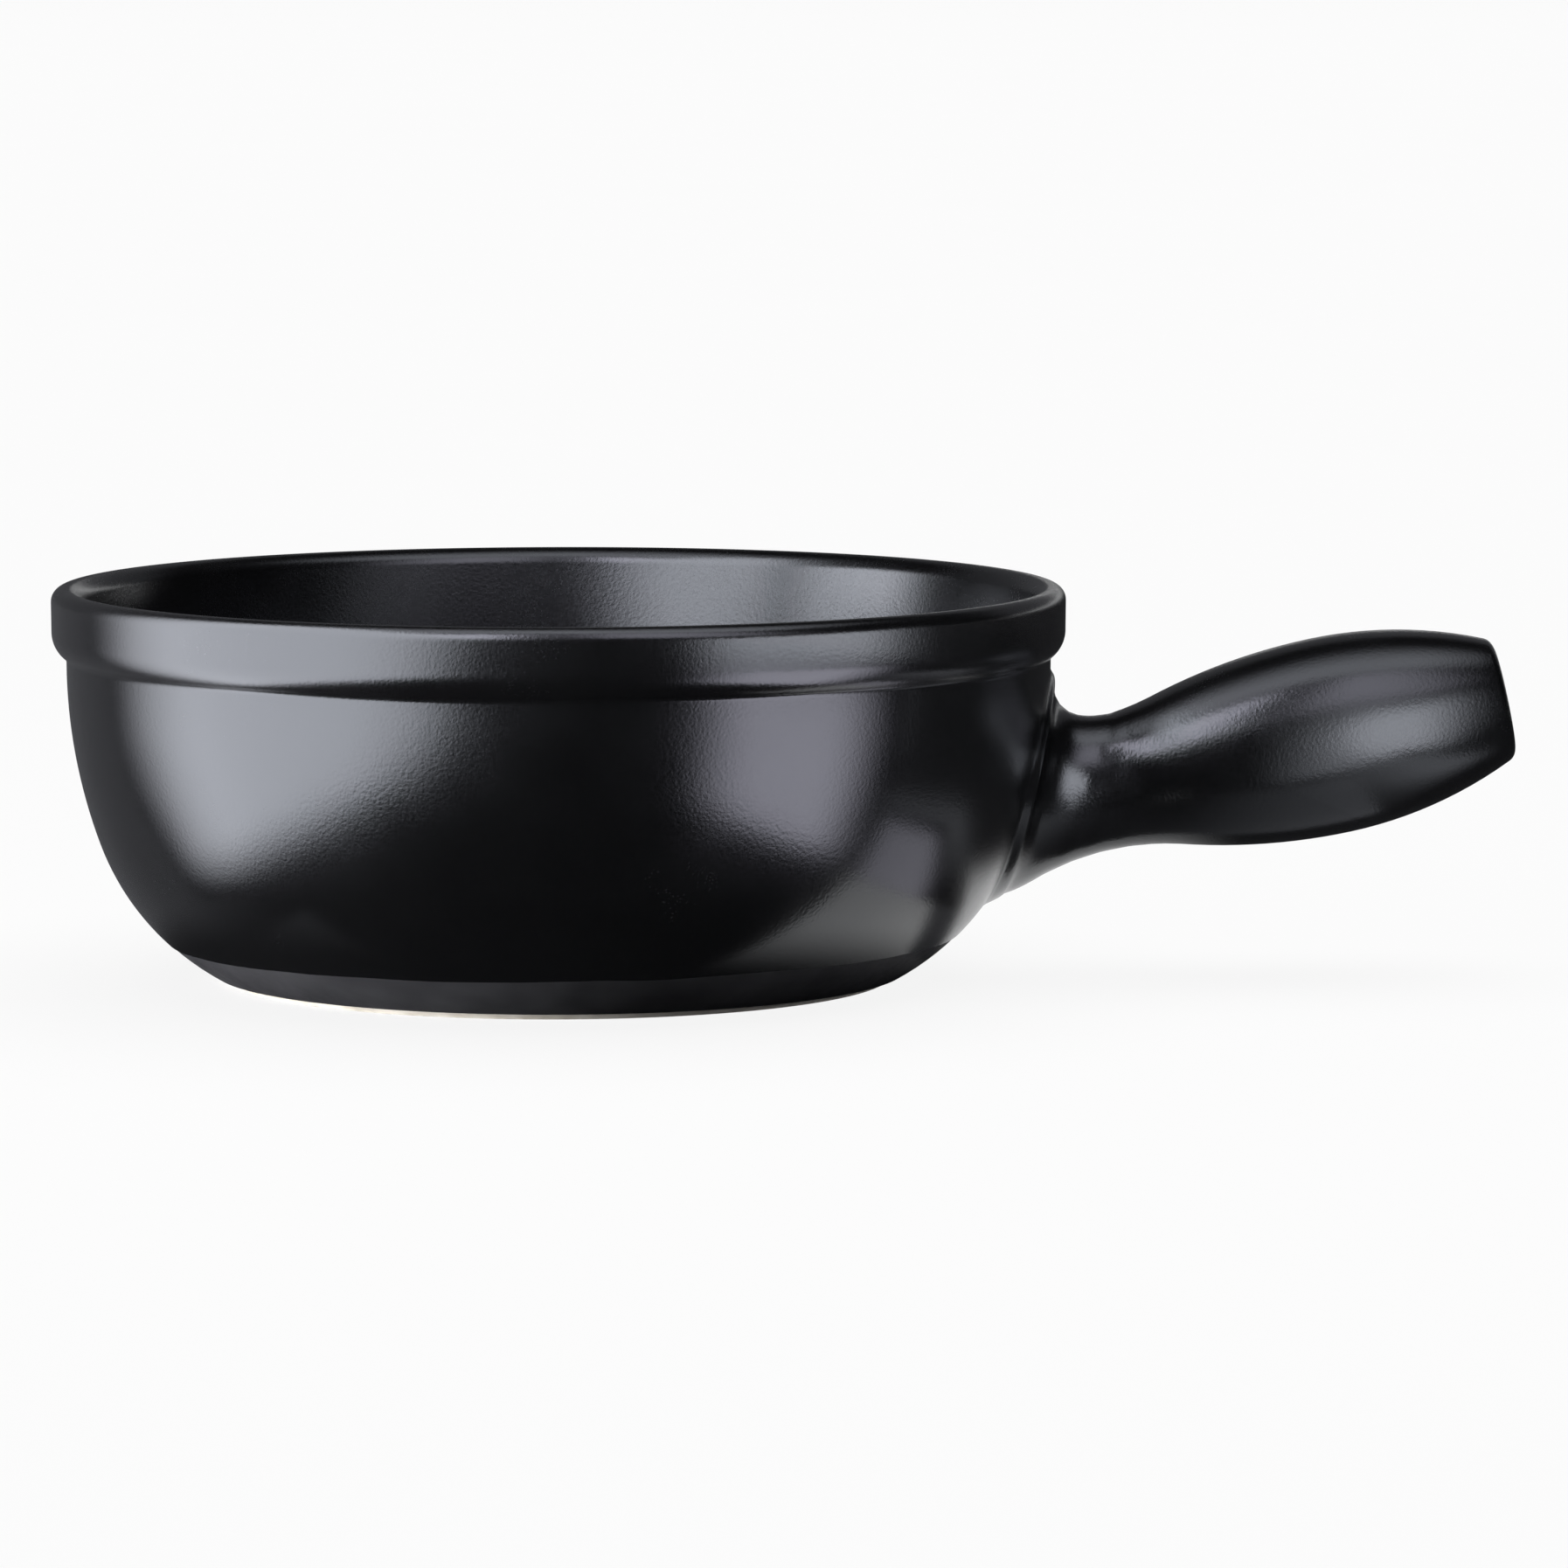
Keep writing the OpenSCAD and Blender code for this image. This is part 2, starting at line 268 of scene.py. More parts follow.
def wall_outline(low, lift):
    """Heel and wall, from a height above the table up to the crease under the band."""
    start = math.asin((low - HEEL_C.y) / (HEEL_ARC_R + lift))
    heel = arc(HEEL_C, HEEL_ARC_R, start, JOIN_TURN, lift, HEEL_STEPS)
    return without_doubles(heel + arc(WALL_C, WALL_ARC_R, JOIN_TURN, 0, lift, WALL_STEPS))


def outside_outline(low, lift):
    """Wall, crease and band, up to the crest of the rim."""
    crease = arc(CREASE_C, -CREASE_R, 0, UNDER_TURN, lift, CREASE_STEPS)
    corner = arc(CORNER_C, BAND_CORNER_R, UNDER_TURN, BAND_TURN, lift, CORNER_STEPS)
    lip = arc(LIP_C, LIP_OUTER_R, BAND_TURN, CREST_TURN, lift, LIP_STEPS)
    return without_doubles(wall_outline(low, lift) + crease + corner + lip)


def inside_outline():
    """Lip, inside wall and floor, from the crest of the rim to the middle of the floor."""
    lip = arc(LIP_IN_C, LIP_INNER_R, CREST_TURN, INSIDE_TURN, 0, LIP_STEPS)
    wall = arc(WALL_C, -INSIDE_ARC_R, INSIDE_TURN, FLOOR_TURN, 0, INSIDE_STEPS)
    curve = arc(FLOOR_C, -FLOOR_ARC_R, FLOOR_TURN, CREST_TURN, 0, INSIDE_STEPS)
    flat = [Vector((FLOOR_C.x * share, FLOOR_H)) for share in FLOOR_RING_SHARES]
    return without_doubles(lip + wall + curve + flat)


def recess_outline():
    """A thin pool of glaze with a rounded edge, from its middle below to its middle above."""
    edge_c = Vector((RECESS_R - GLAZE_T, RECESS_HIGH))
    edge = [edge_c + GLAZE_T * toward(math.radians(a)) for a in (-90, -60, -30, 0)]
    below = [Vector((RECESS_R * share, RECESS_LOW)) for share in (0, 0.3, 0.6, 0.9)]
    return below + edge + [Vector((0, RECESS_HIGH))]


def wall_radius(height):
    return WALL_C.x + math.sqrt(WALL_ARC_R ** 2 - (height - WALL_C.y) ** 2)


# Modelling steps

def make_active(piece):
    bpy.ops.object.select_all(action="DESELECT")
    piece.select_set(True)
    bpy.context.view_layer.objects.active = piece


def edit(piece):
    make_active(piece)
    bpy.ops.object.mode_set(mode="EDIT")
    bpy.ops.mesh.select_mode(type="VERT")


def leave_edit():
    bpy.ops.object.mode_set(mode="OBJECT")


def select_places(piece, test):
    """Selects, in edit mode, the vertices whose place passes the test."""
    bpy.ops.mesh.select_all(action="DESELECT")
    bpy.ops.object.mode_set(mode="OBJECT")
    for vertex in piece.data.vertices:
        vertex.select = test(vertex.co)
    bpy.ops.object.mode_set(mode="EDIT")


def weld_and_face_out():
    """Merges doubled points, in edit mode, and turns all the faces outward."""
    bpy.ops.mesh.select_all(action="SELECT")
    bpy.ops.mesh.remove_doubles(threshold=WELD)
    bpy.ops.mesh.normals_make_consistent(inside=False)


def work(piece, kind, **settings):
    """Adds a modifier, sets it and applies it."""
    make_active(piece)
    step = piece.modifiers.new(kind.lower(), kind)
    for key, value in settings.items():
        setattr(step, key, value)
    bpy.ops.object.modifier_apply(modifier=step.name)


def cut(piece, tool, operation="DIFFERENCE"):
    work(piece, "BOOLEAN", object=tool, operation=operation, solver="EXACT")


def discard(*tools):
    for tool in tools:
        bpy.data.objects.remove(tool)


def set_in_place():
    """Writes the active object's place and turn into its mesh, and gives the object back."""
    bpy.ops.object.transform_apply(location=True, rotation=True, scale=True)
    return bpy.context.object


def throw_on_wheel(name, outline):
    """Draws an outline point by point and spins it round the bowl's axis."""
    bpy.ops.object.select_all(action="DESELECT")
    bpy.ops.mesh.primitive_plane_add(size=MM)
    piece = bpy.context.object
    piece.name = name
    edit(piece)
    bpy.ops.mesh.select_all(action="SELECT")
    bpy.ops.mesh.merge(type="CENTER")
    bpy.ops.transform.translate(value=(outline[0].x, 0, outline[0].y))
    for here, there in zip(outline, outline[1:]):
        step = there - here
        bpy.ops.mesh.extrude_vertices_move(TRANSFORM_OT_translate={"value": (step.x, 0, step.y)})
    bpy.ops.mesh.select_all(action="SELECT")
    bpy.ops.mesh.spin(steps=BOWL_TURNS, angle=math.tau, center=(0, 0, 0), axis=(0, 0, 1))
    weld_and_face_out()
    leave_edit()
    return piece


def round_bar(radius, start, end):
    """A straight round bar, used as a drill."""
    run = end - start
    bpy.ops.object.select_all(action="DESELECT")
    bpy.ops.mesh.primitive_cylinder_add(
        vertices=HANDLE_SIDES,
        radius=radius,
        depth=run.length,
        location=(start + end) / 2,
        rotation=run.to_track_quat("Z", "Y").to_euler(),
    )
    return set_in_place()


def smooth(piece, degrees=35):
    make_active(piece)
    bpy.ops.object.shade_smooth_by_angle(angle=math.radians(degrees))


# Pieces of the bowl

def dipping_line():
    """A block whose top is the slightly tilted, wandering line down to which the pot was dipped in glaze."""
    bpy.ops.object.select_all(action="DESELECT")
    bpy.ops.mesh.primitive_grid_add(
        x_subdivisions=LINE_CUTS,
        y_subdivisions=LINE_CUTS,
        size=LINE_BLOCK_W,
        location=(0, 0, GLAZE_LINE_H),
        rotation=(0, -math.atan(GLAZE_LINE_SLOPE), 0),
    )
    block = set_in_place()
    block.name = "dipping_line"
    wave = bpy.data.textures.new("glaze_line_wave", "CLOUDS")
    wave.noise_scale = GLAZE_LINE_WAVE
    work(block, "DISPLACE", texture=wave, strength=GLAZE_LINE_WANDER, mid_level=0.5, direction="Z")
    edit(block)
    bpy.ops.mesh.select_all(action="SELECT")
    bpy.ops.mesh.extrude_region_move(TRANSFORM_OT_translate={"value": (0, 0, -LINE_BLOCK_H)})
    bpy.ops.mesh.select_all(action="SELECT")
    bpy.ops.mesh.normals_make_consistent(inside=False)
    leave_edit()
    return block


def make_bowl_glazes():
    """Outside glaze and heel coat, which meet at the dipping line, and the inside and recess glazes."""
    line = dipping_line()
    outside = throw_on_wheel("glazed_outside", outside_outline(GLAZE_LINE_H / 2, 0))
    work(outside, "SOLIDIFY", thickness=GLAZE_T, offset=-1)
    cut(outside, line)
    seat = round_bar(FLANGE_R + GLAZE_T, Vector((0, 0, FLANGE_Z)), Vector((1.5 * RIM_R, 0, FLANGE_Z)))
    cut(outside, seat)
    coat = throw_on_wheel("heel_coat", wall_outline(COAT_LINE_H, COAT_T - GLAZE_T)[:COAT_POINTS])
    work(coat, "SOLIDIFY", thickness=COAT_T, offset=-1)
    cut(coat, line, "INTERSECT")
    inside = throw_on_wheel("glazed_inside", inside_outline())
    work(inside, "SOLIDIFY", thickness=GLAZE_T, offset=-1)
    recess = throw_on_wheel("glazed_recess", recess_outline())
    discard(line, seat)
    for piece in (outside, coat, inside, recess):
        smooth(piece)
    return outside, coat, inside, recess


# Handle: half heights along its own axis, measured from the neck

SWELL = GRIP_R - NECK_R
CURVE_SUM = (GRIP_AT ** 2 + SWELL ** 2) / (2 * SWELL)
NECK_ARC_R = NECK_SHARE * CURVE_SUM
FRONT_ARC_R = (1 - NECK_SHARE) * CURVE_SUM
END_DROP = GRIP_R - END_R
BACK_ARC_R = ((HANDLE_LEN - GRIP_AT) ** 2 + END_DROP ** 2) / (2 * END_DROP)
ROUND_S = HANDLE_LEN - END_ROUND
ROUND_H = GRIP_R - BACK_ARC_R + math.sqrt((BACK_ARC_R - END_ROUND) ** 2 - (ROUND_S - GRIP_AT) ** 2)
ROUND_TURN = math.atan2(ROUND_H - GRIP_R + BACK_ARC_R, ROUND_S - GRIP_AT)
AXIS_DIR = Vector((math.cos(HANDLE_TILT), 0, math.sin(HANDLE_TILT)))
LIFT_DIR = Vector((-math.sin(HANDLE_TILT), 0, math.cos(HANDLE_TILT)))
NECK_C = Vector((wall_radius(FLANGE_Z) + NECK_REACH, 0, FLANGE_Z + NECK_RISE))


def barrel_half_height(s):
    if s < GRIP_AT * NECK_SHARE:
        return NECK_R + NECK_ARC_R - math.sqrt(NECK_ARC_R ** 2 - s ** 2)
    back = FRONT_ARC_R if s < GRIP_AT else BACK_ARC_R
    return GRIP_R - back + math.sqrt(back ** 2 - (s - GRIP_AT) ** 2)


def handle_stations():
    """Distance from the neck and half height of each ring, from the flat of the end face to the flare."""
    turns = [ROUND_TURN * i / END_ROUND_STEPS for i in range(END_ROUND_STEPS + 1)]
    rounding = [(ROUND_S + END_ROUND * math.cos(a), ROUND_H + END_ROUND * math.sin(a)) for a in turns]
    first = rounding[-1][0]
    run = [first + (FLARE_START - first) * i / GRIP_RINGS for i in range(1, GRIP_RINGS + 1)]
    return rounding + [(s, barrel_half_height(s)) for s in run]


def square_up(ring):
    """Draws a round ring out towards its diagonals, so that its section is a little square."""
    same = 1e-4
    for i in range(1, HANDLE_SIDES // 8 + 1):
        turn = math.tau * i / HANDLE_SIDES
        reach = (math.cos(turn) ** SECTION_N + math.sin(turn) ** SECTION_N) ** (-1 / SECTION_N)
        want = (math.cos(turn), math.cos(math.pi / 2 - turn))

        def on_turn(co):
            side = abs(co.x) / math.hypot(co.x, co.y)
            return min(abs(side - want[0]), abs(side - want[1])) < same

        select_places(ring, on_turn)
        bpy.ops.transform.resize(value=(reach, reach, 1), center_override=(0, 0, HANDLE_LEN))


def draw_ring(before, after):
    """Extrudes the last ring to the next station and gives it that station's size."""
    bpy.ops.mesh.extrude_region_move(TRANSFORM_OT_translate={"value": (0, 0, after[0] - before[0])})
    size = after[1] / before[1]
    bpy.ops.transform.resize(value=(size, size, 1), center_override=(0, 0, after[0]))


def close_end_face(barrel):
    """Fills the end face with rings that shrink to its middle."""
    select_places(barrel, lambda co: co.z > HANDLE_LEN - HAIR)
    for left in range(END_FACE_RINGS - 1, 0, -1):
        bpy.ops.mesh.extrude_region_move()
        size = left / (left + 1)
        bpy.ops.transform.resize(value=(size, size, 1), center_override=(0, 0, HANDLE_LEN))
    bpy.ops.mesh.extrude_region_move()
    bpy.ops.mesh.merge(type="CENTER")


def make_barrel():
    """The grip, drawn ring by ring along +Z from its end face to the flare, then tipped into place."""
    stations = handle_stations()
    bpy.ops.object.select_all(action="DESELECT")
    bpy.ops.mesh.primitive_circle_add(
        vertices=HANDLE_SIDES,
        radius=stations[0][1],
        location=(0, 0, HANDLE_LEN),
    )
    barrel = set_in_place()
    barrel.name = "handle_skin"
    edit(barrel)
    square_up(barrel)
    bpy.ops.mesh.select_all(action="SELECT")
    bpy.ops.transform.resize(value=(1, WIDTH_SHARE, 1), center_override=(0, 0, HANDLE_LEN))
    for before, after in zip(stations, stations[1:]):
        draw_ring(before, after)
    close_end_face(barrel)
    leave_edit()
    barrel.rotation_euler = (0, math.pi / 2 - HANDLE_TILT, 0)
    barrel.location = NECK_C
    make_active(barrel)
    return set_in_place()


def flange_edge(thickness):
    """Radius and height above the wall of each ring of the edge, which the glaze softens into an S."""
    first, last = FLANGE_R - FLANGE_EDGE_SHARE * thickness, FLANGE_R + FLANGE_FILLET
    rings = []
    for i in range(FLANGE_EDGE_STEPS + 1):
        share = i / FLANGE_EDGE_STEPS
        drop = share * share * (3 - 2 * share)
        rings.append((first + share * (last - first), (LUTE_T + thickness) * (1 - drop)))
    return rings + [(last + FLANGE_SINK, -FLANGE_SINK)]


def flange_rings():
    """Radius and centre height of each ring. The edge is thicker below, so inner rings sit a little high."""
    pairs = zip(flange_edge(FLANGE_T), flange_edge(FLANGE_TOP_T))
    return [((low[0] + top[0]) / 2, FLANGE_Z + (top[0] - low[0]) / 2) for low, top in pairs]


def press_onto_wall(flange, group, height):
    """Slides a group of the flange's points along X onto a former of the wall, raised by a height."""
    former = throw_on_wheel("wall_former", wall_outline(COAT_LINE_H, height))
    work(
        flange,
        "SHRINKWRAP",
        target=former,
        vertex_group=group,
        wrap_method="PROJECT",
        use_project_x=True,
        use_negative_direction=True,
        use_positive_direction=True,
    )
    discard(former)


def make_flange():
    """Flat rings, pressed onto the wall as thick as the edge is above, then raised to its thickness below."""
    rings = flange_rings()
    start_x = 1.3 * RIM_R
    gap = MM
    bpy.ops.object.select_all(action="DESELECT")
    bpy.ops.mesh.primitive_circle_add(
        vertices=HANDLE_SIDES,
        radius=rings[0][0],
        location=(start_x, 0, rings[0][1]),
        rotation=(0, math.pi / 2, 0),
    )
    flange = set_in_place()
    edit(flange)
    bpy.ops.mesh.select_all(action="SELECT")
    for i, (before, after) in enumerate(zip(rings, rings[1:])):
        bpy.ops.mesh.extrude_region_move(TRANSFORM_OT_translate={"value": (-gap, 0, after[1] - before[1])})
        size = after[0] / before[0]
        centre = (start_x - (i + 1) * gap, 0, after[1])
        bpy.ops.transform.resize(value=(1, size, size), center_override=centre)
    leave_edit()
    for i, (radius, middle) in enumerate(rings):
        whole = flange.vertex_groups.new(name=f"ring_{i}")
        below = flange.vertex_groups.new(name=f"ring_{i}_below")
        for vertex in flange.data.vertices:
            if abs(vertex.co.x - start_x + i * gap) < gap / 4:
                whole.add([vertex.index], 1, "REPLACE")
                below.add([vertex.index], (1 - (vertex.co.z - middle) / radius) / 2, "REPLACE")
    for i, (low, top) in enumerate(zip(flange_edge(FLANGE_T), flange_edge(FLANGE_TOP_T))):
        press_onto_wall(flange, f"ring_{i}", top[1])
        if low[1] > top[1]:
            press_onto_wall(flange, f"ring_{i}_below", low[1])
    flange.vertex_groups.clear()
    return flange


def make_handle_skin():
    """Grip and flange as one skin, bridged by a flare that is pressed onto the solid one and smoothed."""
    skin = make_barrel()
    flange = make_flange()
    make_active(skin)
    flange.select_set(True)
    bpy.ops.object.join()
    edit(skin)
    edge_r, edge_z = flange_rings()[0]

    def from_neck(co):
        return (co - NECK_C).dot(AXIS_DIR)

    def from_flange_axis(co):
        return math.hypot(co.y, co.z - edge_z)

    def on_open_edges(co):
        at_grip = abs(from_neck(co) - FLARE_START) < TOUCH
        at_flange = abs(from_flange_axis(co) - edge_r) < TOUCH and from_neck(co) < FLARE_START
        return at_grip or at_flange

    def on_flare(co):
        return from_neck(co) < FLARE_START - TOUCH and from_flange_axis(co) < edge_r - TOUCH

    select_places(skin, on_open_edges)
    bpy.ops.mesh.bridge_edge_loops(number_cuts=FLARE_CUTS, interpolation="LINEAR")
    weld_and_face_out()
    leave_edit()
    flare = skin.vertex_groups.new(name="flare")
    flare.add([v.index for v in skin.data.vertices if on_flare(v.co)], 1, "REPLACE")
    for strokes in FLARE_STROKES:
        work(skin, "SHRINKWRAP", target=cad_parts["handle_glaze"], vertex_group="flare")
        work(skin, "SMOOTH", vertex_group="flare", factor=0.5, iterations=strokes)
    skin.vertex_groups.clear()
    work(skin, "SOLIDIFY", thickness=GLAZE_T, offset=-1)
    vent_top = NECK_C + VENT_AT * AXIS_DIR
    vent = round_bar(VENT_R, vent_top, vent_top - 2 * GRIP_R * LIFT_DIR)
    cut(skin, vent)
    discard(vent)
    smooth(skin, degrees=50)
    return skin


# Shader nodes

def feed(tree, socket, value):
    """Links an input to a socket, or sets it to a plain value."""
    if isinstance(value, bpy.types.NodeSocket):
        tree.links.new(value, socket)
    else:
        socket.default_value = value


def fill_in(tree, node, **inputs):
    """Sets or links a node's inputs by name."""
    for key, value in inputs.items():
        feed(tree, node.inputs[key.replace("_", " ")], value)


def put(tree, kind, settings=None, **inputs):
    """Adds a node, sets its options, and sets or links its inputs by name."""
    made = tree.nodes.new(kind)
    for key, value in (settings or {}).items():
        setattr(made, key, value)
    fill_in(tree, made, **inputs)
    return made


def combine(tree, operation, first, second):
    """A maths node on two values or sockets."""
    made = put(tree, "ShaderNodeMath", {"operation": operation})
    for socket, value in zip(made.inputs, (first, second)):
        feed(tree, socket, value)
    return made.outputs[0]


def mix(tree, share, first, second):
    """A shader that goes from the first to the second as the share goes from 0 to 1."""
    made = put(tree, "ShaderNodeMixShader", Fac=share)
    tree.links.new(first, made.inputs[1])
    tree.links.new(second, made.inputs[2])
    return made.outputs[0]


def spread(tree, value, low, high, start=0.3, end=0.7):
    """Stretches a noise value from start and end to low and high."""
    made = put(
        tree,
        "ShaderNodeMapRange",
        Value=value,
        From_Min=start,
        From_Max=end,
        To_Min=low,
        To_Max=high,
    )
    return made.outputs["Result"]


def fade(tree, value, dark_at, full_at):
    """A soft rise from 0 to 1."""
    made = put(
        tree,
        "ShaderNodeMapRange",
        {"interpolation_type": "SMOOTHSTEP"},
        Value=value,
        From_Min=dark_at,
        From_Max=full_at,
    )
    return made.outputs["Result"]


def noise(tree, place, size, detail=2.0):
    """Soft noise with patches of about that size, in metres."""
    made = put(tree, "ShaderNodeTexNoise", Vector=place, Scale=1 / size, Detail=detail)
    return made.outputs["Fac"]


def cells(tree, place, size):
    """Distance from scattered points, in shares of their spacing."""
    made = put(tree, "ShaderNodeTexVoronoi", Vector=place, Scale=1 / size, Randomness=1.0)
    return made.outputs["Distance"]


def two_tone(tree, value, dark, light):
    """A colour between two, by a value from 0 to 1."""
    ramp = put(tree, "ShaderNodeValToRGB", Fac=value)
    for stop, colour in zip(ramp.color_ramp.elements, (dark, light)):
        stop.color = (*colour, 1)
    return ramp.outputs["Color"]


# Finishes

def new_material(name):
    material = bpy.data.materials.new(name)
    material.use_nodes = True
    return material, material.node_tree


def places(tree, kind):
    """Coordinates of a kind, such as Object or UV."""
    return put(tree, "ShaderNodeTexCoord").outputs[kind]


def new_finish(name):
    """A material with its tree, its main shader and the piece's own coordinates."""
    material, tree = new_material(name)
    return material, tree, tree.nodes["Principled BSDF"], places(tree, "Object")


def grain_and_pits(tree, place, ripple_h, tooth_h, pit_h):
    """Bumped normal: a soft ripple, a fine satin tooth and a few burst bubbles, by heights in metres."""
    ripple = combine(tree, "MULTIPLY", noise(tree, place, RIPPLE_SIZE), ripple_h)
    tooth = combine(tree, "MULTIPLY", noise(tree, place, TOOTH_SIZE, 3), tooth_h)
    dots = spread(tree, cells(tree, place, PIT_SPACING), pit_h, 0, *PIT_SIDE)
    chosen = spread(tree, noise(tree, place, PIT_PATCH), 0, 1, *PIT_PATCH_EDGE)
    pits = combine(tree, "MULTIPLY", dots, chosen)
    height = combine(tree, "ADD", combine(tree, "ADD", ripple, tooth), pits)
    return put(tree, "ShaderNodeBump", Strength=1.0, Distance=1.0, Height=height).outputs["Normal"]


def black_glaze(name, rough, tooth_h):
    """Near-black satin glaze: cloudy tone, uneven sheen, fine grain."""
    material, tree, shader, place = new_finish(name)
    cloud = spread(tree, noise(tree, place, GLAZE_CLOUD, 4), 0, 1)
    sheen = spread(tree, noise(tree, place, GLAZE_SHEEN, 3), *rough)
    speckle = spread(tree, noise(tree, place, GLAZE_SPECKLE), *SPECKLE_ROUGH)
    fill_in(
        tree,
        shader,
        Base_Color=two_tone(tree, cloud, *BLACKS),
        Roughness=combine(tree, "ADD", sheen, speckle),
        Normal=grain_and_pits(tree, place, GLAZE_RIPPLE, tooth_h, GLAZE_PIT),
        IOR=GLAZE_IOR,
        Specular_Tint=GLAZE_TINT,
    )
    return material


def matt_coat():
    """Dark grey matt coat of the heel, a little paler where it is thin."""
    material, tree, shader, place = new_finish("matt_coat")
    cloud = spread(tree, noise(tree, place, COAT_CLOUD, 5), 0, 1)
    fill_in(
        tree,
        shader,
        Base_Color=two_tone(tree, cloud, *COAT_GREYS),
        Roughness=spread(tree, noise(tree, place, COAT_SHEEN, 3), *COAT_ROUGH),
        Normal=grain_and_pits(tree, place, *COAT_RELIEF),
        Specular_IOR_Level=COAT_MIRROR,
    )
    return material


def fired_clay(name, dark, light):
    """Bare pale stoneware with fine iron specks."""
    material, tree, shader, place = new_finish(name)
    body = spread(tree, noise(tree, place, CLAY_CLOUD, 6), 0, 1)
    speck = spread(tree, cells(tree, place, CLAY_SPECK), 0.75, 1, 0.1, 0.22)
    fill_in(
        tree,
        shader,
        Base_Color=two_tone(tree, combine(tree, "MULTIPLY", body, speck), dark, light),
        Roughness=spread(tree, noise(tree, place, CLAY_SHEEN), *CLAY_ROUGH),
        Normal=grain_and_pits(tree, place, *CLAY_RELIEF),
    )
    return material


def give(piece, material):
    piece.data.materials.clear()
    piece.data.materials.append(material)


def dress(piece, material, slot, *nodes):
    """Puts a finish on a new piece, lets it ride on the pot and stand for its solids."""
    give(piece, material)
    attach(piece, "root")
    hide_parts(*nodes)


# Stage

def one_sided(tree, shader):
    """Shows a shader on the front of a surface and lets rays pass through its back."""
    back = put(tree, "ShaderNodeNewGeometry").outputs["Backfacing"]
    clear = put(tree, "ShaderNodeBsdfTransparent").outputs[0]
    tree.links.new(mix(tree, back, shader, clear), tree.nodes["Material Output"].inputs["Surface"])


def make_floor():
    """Pale floor that runs up in one curve to a pale backdrop far behind."""
    bpy.ops.object.select_all(action="DESELECT")
    bpy.ops.mesh.primitive_plane_add(size=FLOOR_SIDE, location=(0, FLOOR_BACK - FLOOR_SIDE / 2, 0))
    floor = set_in_place()
    floor.name = "studio_floor"
    edit(floor)
    select_places(floor, lambda co: co.y > 0)
    bpy.ops.mesh.extrude_region_move(TRANSFORM_OT_translate={"value": (0, 0, BACKDROP_H)})
    select_places(floor, lambda co: co.y > 0 and co.z < BACKDROP_H / 2)
    bpy.ops.mesh.bevel(offset=BACKDROP_BEND, segments=BACKDROP_STEPS, affect="EDGES")
    leave_edit()
    smooth(floor, degrees=60)
    material, tree, shader, place = new_finish("pale_floor")
    tone = spread(tree, noise(tree, place, FLOOR_CLOUD), 0, 1)
    fill_in(
        tree,
        shader,
        Base_Color=two_tone(tree, tone, *FLOOR_TONES),
        Roughness=0.9,
        Specular_IOR_Level=0.1,
    )
    path = put(tree, "ShaderNodeLightPath").outputs
    seen = combine(tree, "MAXIMUM", path["Is Camera Ray"], path["Is Glossy Ray"])
    white = put(tree, "ShaderNodeEmission", Strength=FLOOR_WHITE).outputs[0]
    one_sided(tree, mix(tree, combine(tree, "MULTIPLY", seen, FLOOR_LIFT), shader.outputs[0], white))
    give(floor, material)


def card(name, corners, material):
    """A flat four-cornered card out of the camera's sight: it only shows as a reflection in the glaze."""
    bpy.ops.object.select_all(action="DESELECT")
    bpy.ops.mesh.primitive_plane_add(size=2)
    sheet = bpy.context.object
    sheet.name = name
    edit(sheet)
    for (x, y), corner in zip(((-1, -1), (1, -1), (1, 1), (-1, 1)), corners):
        start = Vector((x, y, 0))
        select_places(sheet, lambda co: (co - start).length < TOUCH)
        bpy.ops.transform.translate(value=Vector(corner) - start)
    bpy.ops.mesh.select_all(action="SELECT")
    bpy.ops.mesh.subdivide(number_cuts=CARD_CUTS)
    leave_edit()
    give(sheet, material)
    for sight in ("visible_camera", "visible_diffuse", "visible_transmission", "visible_shadow"):
        setattr(sheet, sight, False)


def upright(start, end, low, high):
    """Corners of a panel that stands on a line of the plan, from one height to another."""
    return (*start, low), (*end, low), (*end, high), (*start, high)


def on_floor(low, high, lift=CARD_LIFT):
    """Corners of a card that lies on the floor."""
    return (*low, lift), (high[0], low[1], lift), (*high, lift), (low[0], high[1], lift)


def glowing(tree, glow, colour, level, see_through):
    """Light of a panel: where its level falls it gets darker, or lets rays pass."""
    strength = glow if see_through else combine(tree, "MULTIPLY", level, glow)
    shine = put(tree, "ShaderNodeEmission", Color=(*colour, 1), Strength=strength).outputs[0]
    if see_through:
        shine = mix(tree, level, put(tree, "ShaderNodeBsdfTransparent").outputs[0], shine)
    one_sided(tree, shine)


def softbox(name, glow, corners, fades=NO_FADES, colour=COOL_WHITE, see_through=False):
    """A panel that shines to its front. It fades at its start, end, foot and head, by shares of its size."""
    material, tree = new_material(name)
    sides = put(tree, "ShaderNodeSeparateXYZ", Vector=places(tree, "UV")).outputs
    level = 1.0
    for side, near, far in (("X", *fades[:2]), ("Y", *fades[2:])):
        if near:
            level = combine(tree, "MULTIPLY", fade(tree, sides[side], 0, near), level)
        if far:
            level = combine(tree, "MULTIPLY", fade(tree, sides[side], 1, 1 - far), level)
    glowing(tree, glow, colour, level, see_through)
    card(name, corners, material)


def floor_card(name, low, high, tone, fades=NO_FADES):
    """A card that lies on the floor, of an even tone where it has no fades."""
    softbox(name, tone, on_floor(low, high), fades)


def back_card(name, low, high, tone):
    """A card of an even tone that stands far behind, in front of the backdrop."""
    softbox(name, tone, upright((low[0], BACK_CARD_Y), (high[0], BACK_CARD_Y), low[1], high[1]))


